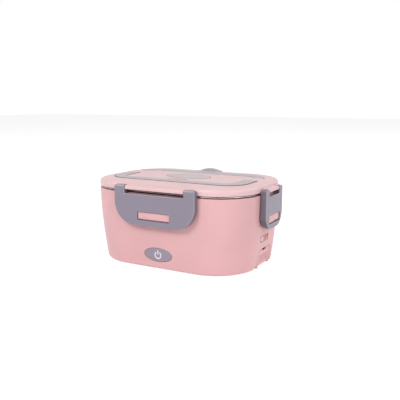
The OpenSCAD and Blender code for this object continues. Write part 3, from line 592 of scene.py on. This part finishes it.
def door_outline(grow=0.0, foot=0.0):
    """Outline (y, z) of the socket door and, grown, of its opening."""
    half, top = DOOR_HALF + grow, DOOR_TOP + grow
    r, low = DOOR_R + grow, DOOR_PIN_Z - foot
    return ([(-half, low), (half, low)] + arc(half - r, top - r, r, 0, 90, 8)
            + arc(-(half - r), top - r, r, 90, 180, 8))


def door_notch():
    """Finger notch over the door's top edge."""
    outline = rounded(NOTCH_HALF, NOTCH_H, NOTCH_R, 8)
    return solid_x([(y, z + DOOR_TOP - NOTCH_DROP) for y, z in outline], NOTCH_CUT_FROM, CUT_PAST)


def case_rows():
    """Heights and insets from the bottom edge up the wall, over the deck and down inside."""
    wall_low, wall_top, wall_steps, inner_steps = FOOT_H + EDGE_R, TOP - RIM_EDGE_R, 18, 5
    rows = [(FOOT_H + EDGE_R * (1 - math.sin(a)), EDGE_R * (1 - math.cos(a))) for a in angles(90, 0, 5)]
    rows += [(wall_low + (wall_top - wall_low) * i / wall_steps, 0.0) for i in range(1, wall_steps + 1)]
    rows += [(TOP - RIM_EDGE_R * (1 - math.sin(a)), RIM_EDGE_R * (1 - math.cos(a)))
             for a in angles(30, 90, 2)]
    rows += [(TOP, LIP_OUTER), (LIP_Z, LIP_OUTER), (LIP_Z, LIP_INNER), (DECK_Z, LIP_INNER), (DECK_Z, WALL)]
    rows += [(DECK_Z + (FOOT_H - DECK_Z) * i / inner_steps, WALL) for i in range(1, inner_steps + 1)]
    return rows


def make_case():
    """Outer shell with its openings for the button and the socket."""
    shell = new_object("case_shell", loft([case_loop(z, inset) for z, inset in case_rows()], ring=True))
    button = [(x, z + BUTTON_Z) for x, z in ellipse(BUTTON_W / 2 + GAP, BUTTON_H / 2 + GAP)]
    cut(shell, solid_y(button, *BUTTON_CUT_Y),
        solid_x(door_outline(DOOR_GAP, DOOR_FOOT), DOOR_CUT_FROM, CUT_PAST), door_notch(),
        box(STEP_FROM, CUT_PAST, -STEP_HALF, STEP_HALF, -2, STEP_Z))
    soften(shell, 0.35, angle=50)
    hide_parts("body_shell")
    dress(shell, "base", "pink_case")


def make_door_frame():
    """Frame inside the wall that the socket door closes against."""
    x0, x1 = case_x(DOOR_TOP) - WALL - FRAME_DEPTH, case_x(FRAME_LOW) - WALL / 2
    piece = new_object("door_frame", box(x0, x1, -FRAME_HALF, FRAME_HALF, FRAME_LOW, FRAME_TOP))
    cut(piece, solid_x(door_outline(GAP, DOOR_FOOT), FRAME_CUT_FROM, CUT_PAST), door_notch())
    soften(piece, 0.2)
    # The frame inside the wall gets the darker copy of the case pink: painted shade.
    dress(piece, "base", "pink_painted_shade")


def catch_profile(side):
    """Profile (y, z) of a catch, for a wall facing -Y."""
    bar_top = side["low"] + side["bar"]
    inner = -(side["half"] + side["out"] - CLIP_T)
    face, top = inner - CATCH_HOOK, bar_top + WINDOW_H - CATCH_EDGE
    root = -(side["half"] - WALL / 2)
    return [(root, bar_top + GAP), (inner, bar_top + GAP), (face, bar_top + GAP + HOOK_RISE),
            (face, top - CATCH_EDGE), (face + CATCH_EDGE, top), (root, top)]


def make_catches():
    for name, side in SIDES.items():
        half = side["window"] / 2 - CATCH_GAP
        catch = new_object(name + "_catch", turned(solid_x(catch_profile(side), -half, half), side["turn"]))
        soften(catch, 0.45, segments=3, angle=40)
        dress(catch, "base", "pink_case")


def container_rows():
    """Heights and insets from the tub's floor up inside, round the rim and down outside."""
    floor, wall, inner_r = TUB_BOTTOM + STEEL_T, TUB_INSET + STEEL_T, TUB_ROUND - STEEL_T
    round_z = TUB_BOTTOM + TUB_ROUND
    rows = [(floor + inner_r * (1 - math.cos(a)), wall + inner_r * (1 - math.sin(a)))
            for a in angles(0, 90, 9)]
    rows += [(TUB_MIDDLE, wall), (BEND_Z, wall)]
    rows += [(BEND_Z + BEND_R * math.sin(a), wall - BEND_R * (1 - math.cos(a))) for a in angles(30, 90, 2)]
    rows += [(RIM_TOP, RIM_INSET + RIM_FLAT)]
    rows += [(ROLL_Z + ROLL_R * math.cos(a), RIM_INSET + ROLL_R - ROLL_R * math.sin(a))
             for a in angles(0, 180, 6)]
    rows += [(ROLL_Z - ROLL_R, RIM_INNER), (FLANGE_Z, RIM_INNER), (FLANGE_Z, TUB_INSET)]
    rows += [(TUB_MIDDLE, TUB_INSET), (round_z, TUB_INSET)]
    rows += [(round_z - TUB_ROUND * math.sin(a), TUB_INSET + TUB_ROUND * (1 - math.cos(a)))
             for a in angles(15, 90, 5)]
    return rows


def make_container():
    """Steel tub with its rolled rim."""
    tub = new_object("steel_tub", loft([flat_loop(rim_outline(inset), z) for z, inset in container_rows()]))
    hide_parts("steel_container")
    dress(tub, "base", "container_steel")


def make_seam_shade_rings():
    """Dark rings of painted shade in the seam's gaps, under and over the steel rim."""
    for name, body, slot, outer, inner, low, top in SEAM_SHADE_RINGS:
        edge = new_object(name, hoop(rim_outline(outer), rim_outline(inner), low, top))
        dress(edge, body, "seam_painted_shade")


# ---------- button, socket door and label ----------

def make_button():
    """Oval button, slightly crowned, with a rounded edge."""
    loops = []
    for inset, out in BUTTON_ROWS:
        outline = ellipse(BUTTON_W / 2 - inset, BUTTON_H / 2 - inset)
        loops.append([on_front(x, z + BUTTON_Z, out) for x, z in outline])
    button = new_object("button_cap", loft(loops))
    half_w, half_h = BUTTON_W / 2 + BUTTON_FLANGE, BUTTON_H / 2 + BUTTON_FLANGE
    flange = solid_y([(x, z + BUTTON_Z) for x, z in ellipse(half_w, half_h)], *BUTTON_FLANGE_Y)
    stem_outline = ellipse(BUTTON_STEM_R, BUTTON_STEM_R, 32)
    stem = solid_y([(x, z + BUTTON_Z) for x, z in stem_outline], *BUTTON_STEM_Y)
    back = new_object("button_back", joined(flange, stem))
    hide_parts("power_button")
    dress(button, "button", "grey_button")
    dress(back, "button", "grey_button")


def strip(points):
    """A thin raised line of the power sign along points (x, z)."""
    loops = []
    for i, (x, z) in enumerate(points):
        ax, az = points[max(0, i - 1)]
        bx, bz = points[min(len(points) - 1, i + 1)]
        length = math.hypot(bx - ax, bz - az)
        nx, nz = -(bz - az) / length * SIGN_HALF, (bx - ax) / length * SIGN_HALF
        tx, tz = nx * SIGN_TAPER, nz * SIGN_TAPER
        loops.append([on_front(x + nx, z + nz, SIGN_LOW), on_front(x + tx, z + tz, SIGN_HIGH),
                      on_front(x - tx, z - tz, SIGN_HIGH), on_front(x - nx, z - nz, SIGN_LOW)])
    return loft(loops)


def make_power_symbol():
    """Generic power sign: an open ring, and a bar in its gap."""
    ring = arc(0, BUTTON_Z - SIGN_DROP, SIGN_R, SIGN_START, SIGN_END, 32)
    bar = [(0, BUTTON_Z + BAR_LOW + BAR_STEP * i) for i in range(BAR_POINTS)]
    symbol = new_object("power_symbol", joined(strip(ring), strip(bar)))
    dress(symbol, "button", "symbol_white")


def divided(outline, step):
    """A closed outline with points about a step apart."""
    points = []
    for i, (y, z) in enumerate(outline):
        y1, z1 = outline[(i + 1) % len(outline)]
        n = max(1, int(math.hypot(y1 - y, z1 - z) / step))
        points += [(y + (y1 - y) * k / n, z + (z1 - z) * k / n) for k in range(n)]
    return points


def door_rib(y):
    """A low upright rib on the socket door that starts and ends in its surface."""
    rows = []
    for z in RIB_HEIGHTS:
        crest = RIB_ROOT if z in (RIB_HEIGHTS[0], RIB_HEIGHTS[-1]) else RIB_PROUD
        section = ((-RIB_HALF, RIB_ROOT), (-RIB_HALF / 2, crest),
                   (RIB_HALF / 2, crest), (RIB_HALF, RIB_ROOT))
        rows.append([on_end(y + across, z, out) for across, out in section])
    return loft(rows)


def make_door():
    """Socket door: a plate that follows the wall, with low ribs, a notch and a hinge barrel."""
    outline = divided(door_outline(), DOOR_STEP)
    rows = []
    for inset, out in DOOR_ROWS:
        narrow, low = 1 - inset / DOOR_HALF, 1 - inset / DOOR_HALF_H
        rows.append([on_end(y * narrow, DOOR_MIDDLE + (z - DOOR_MIDDLE) * low, out) for y, z in outline])
    plate = new_object("door_plate", loft(rows))
    corners = [box(DOOR_PIN_X - CORNER_CUT_X, DOOR_PIN_X + CORNER_CUT_X, y0, y1, 0, CORNER_CUT_Z)
               for y0, y1 in ((BARREL_HALF, CORNER_CUT_Y), (-CORNER_CUT_Y, -BARREL_HALF))]
    cut(plate, door_notch(), *corners)
    soften(plate, 0.25, angle=50)
    ribs = [door_rib(i * RIB_PITCH) for i in range(-3, 4)]
    inner_end, end_r = BARREL_HALF - BARREL_EDGE, BARREL_R - BARREL_EDGE
    barrel = loft([[(DOOR_PIN_X + x, y, DOOR_PIN_Z + z) for x, z in ellipse(r, r, 28)]
                   for y, r in ((-BARREL_HALF, end_r), (-inner_end, BARREL_R),
                                (inner_end, BARREL_R), (BARREL_HALF, end_r))])
    ribs_piece = new_object("door_ribs", joined(*ribs))
    barrel_piece = new_object("door_barrel", barrel)
    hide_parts("socket_door")
    # The ribs get the darker copy of the case pink: painted shade along them.
    for piece, material in ((plate, "pink_case"), (ribs_piece, "pink_painted_shade"), (barrel_piece, "pink_case")):
        dress(piece, "door", material)


def patch(area, out_range, r):
    """A thin plate on the end wall: its y and z range, its distances out of the wall and corner radius."""
    y0, y1, z0, z1 = area
    outline = [((y0 + y1) / 2 + y, (z0 + z1) / 2 + z)
               for y, z in rounded((y1 - y0) / 2, (z1 - z0) / 2, r, 4)]
    return loft([[on_end(y, z, out) for y, z in outline] for out in out_range])


def make_label():
    """Plain film with two empty cells."""
    film = new_object("label_plate", patch(FILM, FILM_OUT, 1.0))
    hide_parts("side_label")
    dress(film, "base", "label_film")
    lines = []
    for y0, y1, z0, z1 in CELLS:
        for edge in ((y0, y1, z0, z0 + CELL_LINE_Z), (y0, y1, z1 - CELL_LINE_Z, z1),
                     (y0, y0 + CELL_LINE_Y, z0, z1), (y1 - CELL_LINE_Y, y1, z0, z1)):
            lines.append(patch(edge, LINE_OUT, 0.1))
    frame_lines = new_object("label_lines", joined(*lines))
    dress(frame_lines, "base", "label_line")
    cell = new_object("label_cell", patch(ORANGE_CELL, ORANGE_OUT, 0.3))
    dress(cell, "base", "label_orange")


# ---------- lid ----------

def lid_rows():
    """Heights and insets of the lid, from its cavity out under the lower edge and up to the crown."""
    rows = [(CAVITY_TOP - LID_Z, LID_WALL), (0.0, LID_WALL), *LID_EDGE, (LID_SIDE_H * 0.6, 0.0)]
    rows += [(LID_SIDE_H + SHOULDER_R * math.sin(a), SHOULDER_R * (1 - math.cos(a)))
             for a in angles(0, 90, 8)]
    crown = LID_H - LID_SIDE_H - SHOULDER_R
    rows += [(LID_SIDE_H + SHOULDER_R + crown * (1 - (1 - t) ** 2), SHOULDER_R + CROWN_RUN * t)
             for t in (i / 7 for i in range(1, 8))]
    return rows


def u_outline(d, end, corner=HANDLE_CORNER):
    """The handle's U, open to the back, with its outline moved inwards by d."""
    n, tip_n = 20, 5
    cx, cy = RING_L - RING_R, -(RING_W - RING_R)
    ro, ri, rc = RING_R - d, RING_R - BAND_W + d, max(0.05, corner - d)
    out, inn, y = RING_L - d, RING_L - BAND_W + d, end - d
    points = arc(-cx, cy, ro, 180, 270, n) + arc(cx, cy, ro, 270, 360, n)
    points += arc(out - rc, y - rc, rc, 0, 90, tip_n) + arc(inn + rc, y - rc, rc, 90, 180, tip_n)
    points += arc(cx, cy, ri, 360, 270, n) + arc(-cx, cy, ri, 270, 180, n)
    points += arc(-inn - rc, y - rc, rc, 0, 90, tip_n) + arc(-out + rc, y - rc, rc, 90, 180, tip_n)
    return points


def trim_outline(d):
    """The back trim's outline, moved inwards by d."""
    n = 28
    cx, cy = RING_L - RING_R, RING_W - RING_R
    ro, ri = RING_R - d, RING_R - BAND_W + d
    ao = math.degrees(math.asin((TRIM_Y + d - cy) / ro))
    ai = math.degrees(math.asin((TRIM_Y + d - cy) / ri))
    return (arc(cx, cy, ro, ao, 90, n) + arc(-cx, cy, ro, 90, 180 - ao, n)
            + arc(-cx, cy, ri, 180 - ai, 90, n) + arc(cx, cy, ri, 90, ai, n))


def tongue_outline(d):
    """The tongue that reaches back from the trim to the thumb tab, moved inwards by d."""
    y0 = RING_W - BAND_W / 2
    outline = rounded(TAB_HALF - d, (TAB_Y - y0) / 2 - d, TONGUE_R - d, 6)
    return [(x, y + (TAB_Y + y0) / 2) for x, y in outline]


def slab_rows(z0, z1, low_r, high_r, steps):
    """Heights and insets of a slab with rounded lower and upper edges."""
    quarter = angles(0, 90, steps)
    rows = [(z0, 0)]
    if low_r:
        rows = [(z0 + low_r * (1 - math.cos(a)), low_r * (1 - math.sin(a))) for a in quarter]
    rows += [(z1 - high_r * (1 - math.sin(a)), high_r * (1 - math.cos(a))) for a in quarter]
    return rows


def make_lid():
    """Lid with its cavity, grooves for handle, trim and tongue, finger notch and plug seat."""
    loops = [flat_loop(rim_outline(inset), LID_Z + h) for h, inset in lid_rows()]
    shell = new_object("lid_top", loft(loops))
    finger = [(x, y - (RING_W - BAND_W) + FINGER_BACK)
              for x, y in rounded(FINGER_HALF, FINGER_REACH, FINGER_R, 10)]
    above, seat_z = LID_TOP + 2, LID_TOP + PLUG_PROUD - PLUG_T - GAP
    cut(shell,
        solid_z(u_outline(-SHADOW_GAP, HANDLE_END + GAP), HANDLE_Z - GAP, above),
        solid_z(trim_outline(-SHADOW_GAP / 2), LID_TOP - TRIM_T, above),
        solid_z(tongue_outline(-TONGUE_GAP), LID_TOP - TRIM_T, above),
        solid_z(finger, HANDLE_Z - GAP + 1, above),
        solid_z(ellipse(PLUG_L + SHADOW_GAP, PLUG_W + SHADOW_GAP), seat_z, above),
        solid_z(ellipse(STEM_R + GAP, STEM_R + GAP, 40), LID_Z - 2, above))
    soften(shell, 0.3, angle=50)
    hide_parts("lid_shell")
    dress(shell, "lid", "pink_lid")


def make_groove_shade_line():
    """Thin dark ring of painted shade that lines the handle's groove and leaves the handle's hinge ends
    free.
    """
    outer, inner = u_outline(-SHADOW_GAP, HANDLE_END), u_outline(-GROOVE_SHADE_GAP, HANDLE_END)
    edge = new_object("groove_shade_line", hoop(outer, inner, HANDLE_Z, LID_TOP + GROOVE_SHADE_RISE))
    cut(edge, box(-120, 120, GROOVE_SHADE_END, 20, 90, 110))
    dress(edge, "lid", "groove_painted_shade")


def make_hinge_bosses():
    """Ledges on the lid that the clips' pins run through."""
    for name, side in SIDES.items():
        half, pin_z, r = side["half"], side["pin"], side["knuckle"] - LEDGE_EDGE
        face, root = -(half + side["out"] - LEDGE_BEHIND), -(half - LEDGE_ROOT)
        low, top = pin_z - LEDGE_DOWN, pin_z + r
        profile = [(-(half - LID_WALL), low), (face + LEDGE_EDGE, low), (face, low + LEDGE_EDGE)]
        profile += [(face, pin_z)]
        profile += [(face + r - r * math.cos(a), pin_z + r * math.sin(a)) for a in angles(15, 90, 5)]
        profile += [(-(half + out), top + up) for out, up in LEDGE_RAMP]
        profile += [(root, top), (root, low + 2)]
        reach = side["slot"] / 2 - LEDGE_GAP
        boss = new_object(name + "_hinge_boss", turned(solid_x(profile, -reach, reach), side["turn"]))
        soften(boss, 0.5, segments=3, angle=50)
        dress(boss, "lid", "pink_lid")


def make_handle():
    """Folding handle: a band with a thicker grip on it."""
    rows = slab_rows(HANDLE_Z, HANDLE_Z + HANDLE_T, HANDLE_LOW_R, HANDLE_HIGH_R, 4)
    band = new_object("handle_band", loft([flat_loop(u_outline(d, HANDLE_END), z) for z, d in rows]))
    rows = slab_rows(HANDLE_Z + HANDLE_T / 2, GRIP_TOP, 0.0, GRIP_HIGH_R, 4)
    loops = [flat_loop(u_outline(d, GRIP_END, GRIP_CORNER), z) for z, d in rows]
    grip = new_object("handle_grip", loft(loops))
    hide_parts("lid_handle")
    dress(band, "handle", "light_grey")
    dress(grip, "handle", "light_grey")


def make_trim():
    """Back trim, and its tongue with the top a little lower so that the two faces don't coincide."""
    rows = slab_rows(LID_TOP - TRIM_T, LID_TOP + TRIM_PROUD, 0.0, TRIM_HIGH_R, 3)
    trim = new_object("trim_band", loft([flat_loop(trim_outline(d), z) for z, d in rows]))
    loops = [flat_loop(tongue_outline(d), z - TONGUE_DROP) for z, d in rows]
    tongue = new_object("trim_tongue", loft(loops))
    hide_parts("back_trim")
    dress(trim, "lid", "light_grey")
    dress(tongue, "lid", "light_grey")


def make_thumb_tab():
    """Low hump that stands on the back end of the tongue: an arc along x, rounded in section."""
    loops = []
    radius = (TAB_HALF ** 2 + TAB_H ** 2) / (2 * TAB_H)
    front, base, half_steps = TAB_Y - TAB_T, LID_TOP - TAB_SINK, 18
    for i in range(2 * half_steps + 1):
        x = TAB_HALF * (i / half_steps - 1) * TAB_SPAN
        h = max(TAB_MIN_H, TAB_H - radius + math.sqrt(radius ** 2 - x ** 2))
        r, top = min(TAB_MAX_R, TAB_R_SHARE * h), LID_TOP + h
        section = [(front, base), (front, top - r)]
        section += [(front + r - r * math.cos(a), top - r + r * math.sin(a)) for a in angles(22.5, 90, 3)]
        section += [(TAB_Y - r + r * math.sin(a), top - r + r * math.cos(a)) for a in angles(0, 67.5, 3)]
        section += [(TAB_Y, top - r), (TAB_Y, base)]
        loops.append([(x, y, z) for y, z in section])
    tab = new_object("thumb_tab", loft(loops))
    dress(tab, "lid", "light_grey", smooth=50)


def make_plug():
    """Oval silicone cap, slightly crowned, on its stem."""
    top = LID_TOP + PLUG_PROUD
    stem = ((STEM_R - STEM_EDGE, RIM_TOP), (STEM_R, RIM_TOP + STEM_EDGE), (STEM_R, top - 2))
    cap = new_object("plug_cap", joined(
        loft([flat_loop(ellipse(PLUG_L - d, PLUG_W - d), top + h) for h, d in PLUG_ROWS]),
        loft([flat_loop(ellipse(r, r, 40), z) for r, z in stem])))
    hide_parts("vent_plug")
    dress(cap, "plug", "plug_silicone")


# ---------- clips ----------

def clip_outline(side, d, top):
    """Outline (x, z) of a clip with its hinge slot, moved inwards by d."""
    hw, sx, low, slot_low = side["w"] / 2, side["slot"] / 2, side["low"], side["pin"] - SLOT_DROP
    big = side["r"]
    corners = (     # x, z, radius, way to the arc's centre, convex or not, start and end angle, steps
        (hw, low, big, -1, 1, 1, -90, 0, CLIP_STEPS),
        (hw, top, EAR_R, -1, -1, 1, 0, 90, EAR_STEPS),
        (sx, top, SLOT_R, 1, -1, 1, 90, 180, SLOT_STEPS),
        (sx, slot_low, SLOT_R, -1, 1, -1, 0, -90, SLOT_STEPS),
        (-sx, slot_low, SLOT_R, 1, 1, -1, -90, -180, SLOT_STEPS),
        (-sx, top, SLOT_R, -1, -1, 1, 0, 90, SLOT_STEPS),
        (-hw, top, EAR_R, 1, -1, 1, 90, 180, EAR_STEPS),
        (-hw, low, big, 1, 1, 1, 180, 270, CLIP_STEPS))
    points = []
    for x, z, r, wx, wz, convex, start, end, steps in corners:
        rr = max(0.05, r - convex * d)
        cx, cz = x + wx * (convex * d + rr), z + wz * (convex * d + rr)
        points += arc(cx, cz, rr, start, end, steps)
    return points


def slot_points():
    """Which points of a clip's outline lie on the slot's lower edge, from mid-corner to mid-corner."""
    first = (CLIP_STEPS + 1) + (EAR_STEPS + 1) + (SLOT_STEPS + 1)
    half_corner = SLOT_STEPS // 2
    return set(range(first + half_corner, first + 2 * (SLOT_STEPS + 1) - half_corner))


def knuckle_cutter(face, pin_z, r):
    """A cutter for all that stands over a knuckle of radius r round its pin."""
    front, behind, foot, over = face - 2, face + 12, pin_z + 0.3, pin_z + 12
    profile = [(front, foot)]
    profile += [(face + r + r * math.cos(a), pin_z + r * math.sin(a)) for a in angles(174, 6, 14)]
    profile += [(behind, foot), (behind, over), (front, over)]
    return solid_x(profile, -80, 80)


def make_clip(name, side):
    """Folding clip: a plate with a flange round it, a window over its bar and knuckles beside the slot."""
    face, back = -(side["half"] + side["out"]), side["out"] - FLANGE_GAP
    pin_z, r = side["pin"], side["knuckle"] + KNUCKLE_GAP
    top, solid_from = pin_z + side["knuckle"], pin_z - r - GAP
    shallow = slot_points()

    def loop(depth, inset, high):
        outline = clip_outline(side, inset, high)
        return [(x, face + (min(depth, CLIP_T) if i in shallow else depth), z)
                for i, (x, z) in enumerate(outline)]

    rows = [(CLIP_EDGE * (1 - math.cos(a)), CLIP_EDGE * (1 - math.sin(a)), top) for a in angles(0, 90, 5)]
    rows += [(back - CLIP_BACK_EDGE, 0.0, top), (back, CLIP_BACK_EDGE, top), (back, CLIP_T, solid_from),
             (CLIP_T, CLIP_T, solid_from)]
    plate = new_object(name + "_clip_plate", loft([loop(*row) for row in rows]))
    middle = side["low"] + side["bar"] + WINDOW_H / 2
    window = [(x, z + middle) for x, z in rounded(side["window"] / 2, WINDOW_H / 2, WINDOW_R, 5)]
    half = side["window"] / 2 + 1
    relief = box(-half, half, face + back - WINDOW_RELIEF, face + 20,
                 side["low"] - 1, middle + WINDOW_H / 2 - 1)
    cut(plate, solid_y(window, face - 5, face + 20), knuckle_cutter(face, pin_z, r), relief)
    soften(plate, 0.3, angle=50)
    turn_object(plate, side["turn"])
    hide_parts(name + "_clip")
    dress(plate, name + "_latch", side["finish"])


# ---------- the CAD's own pieces ----------

CAD_FINISH = {
    "bottom_cover": "pink_case", "rubber_feet": "foot_rubber", "cover_screws": "screw_steel",
    "heater_well": "aluminium", "heating_plate": "aluminium", "ptc_heater": "heater_ceramic",
    "heater_bracket": "screw_steel", "bracket_screws": "screw_steel", "thermostat": "black_plastic",
    "thermal_fuse": "heater_ceramic", "control_board": "board_green", "board_screws": "screw_steel",
    "tact_switch": "black_plastic", "indicator_led": "led_white", "power_inlet": "black_plastic",
    "inlet_pins": "screw_steel", "door_pin": "screw_steel", "inner_lid": "white_plastic",
    "lid_seal": "seal_silicone", "handle_pins": "screw_steel", "front_clip_pin": "screw_steel",
    "back_clip_pin": "screw_steel", "left_clip_pin": "screw_steel", "right_clip_pin": "screw_steel",
}


def finish_cad_nodes():
    for name, material in CAD_FINISH.items():
        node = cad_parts[name]
        node.data.materials.clear()
        node.data.materials.append(MATERIALS[material])


make_camera()
make_world()
make_floor()
for light in LIGHTS:
    area_light(*light)
bpy.context.scene.view_settings.view_transform = "Standard"

MATERIALS = make_materials()
make_case()
make_door_frame()
make_catches()
make_container()
make_seam_shade_rings()
make_button()
make_power_symbol()
make_door()
make_label()
make_lid()
make_groove_shade_line()
make_hinge_bosses()
make_handle()
make_trim()
make_thumb_tab()
make_plug()
for side_name, side_sizes in SIDES.items():
    make_clip(side_name, side_sizes)
finish_cad_nodes()
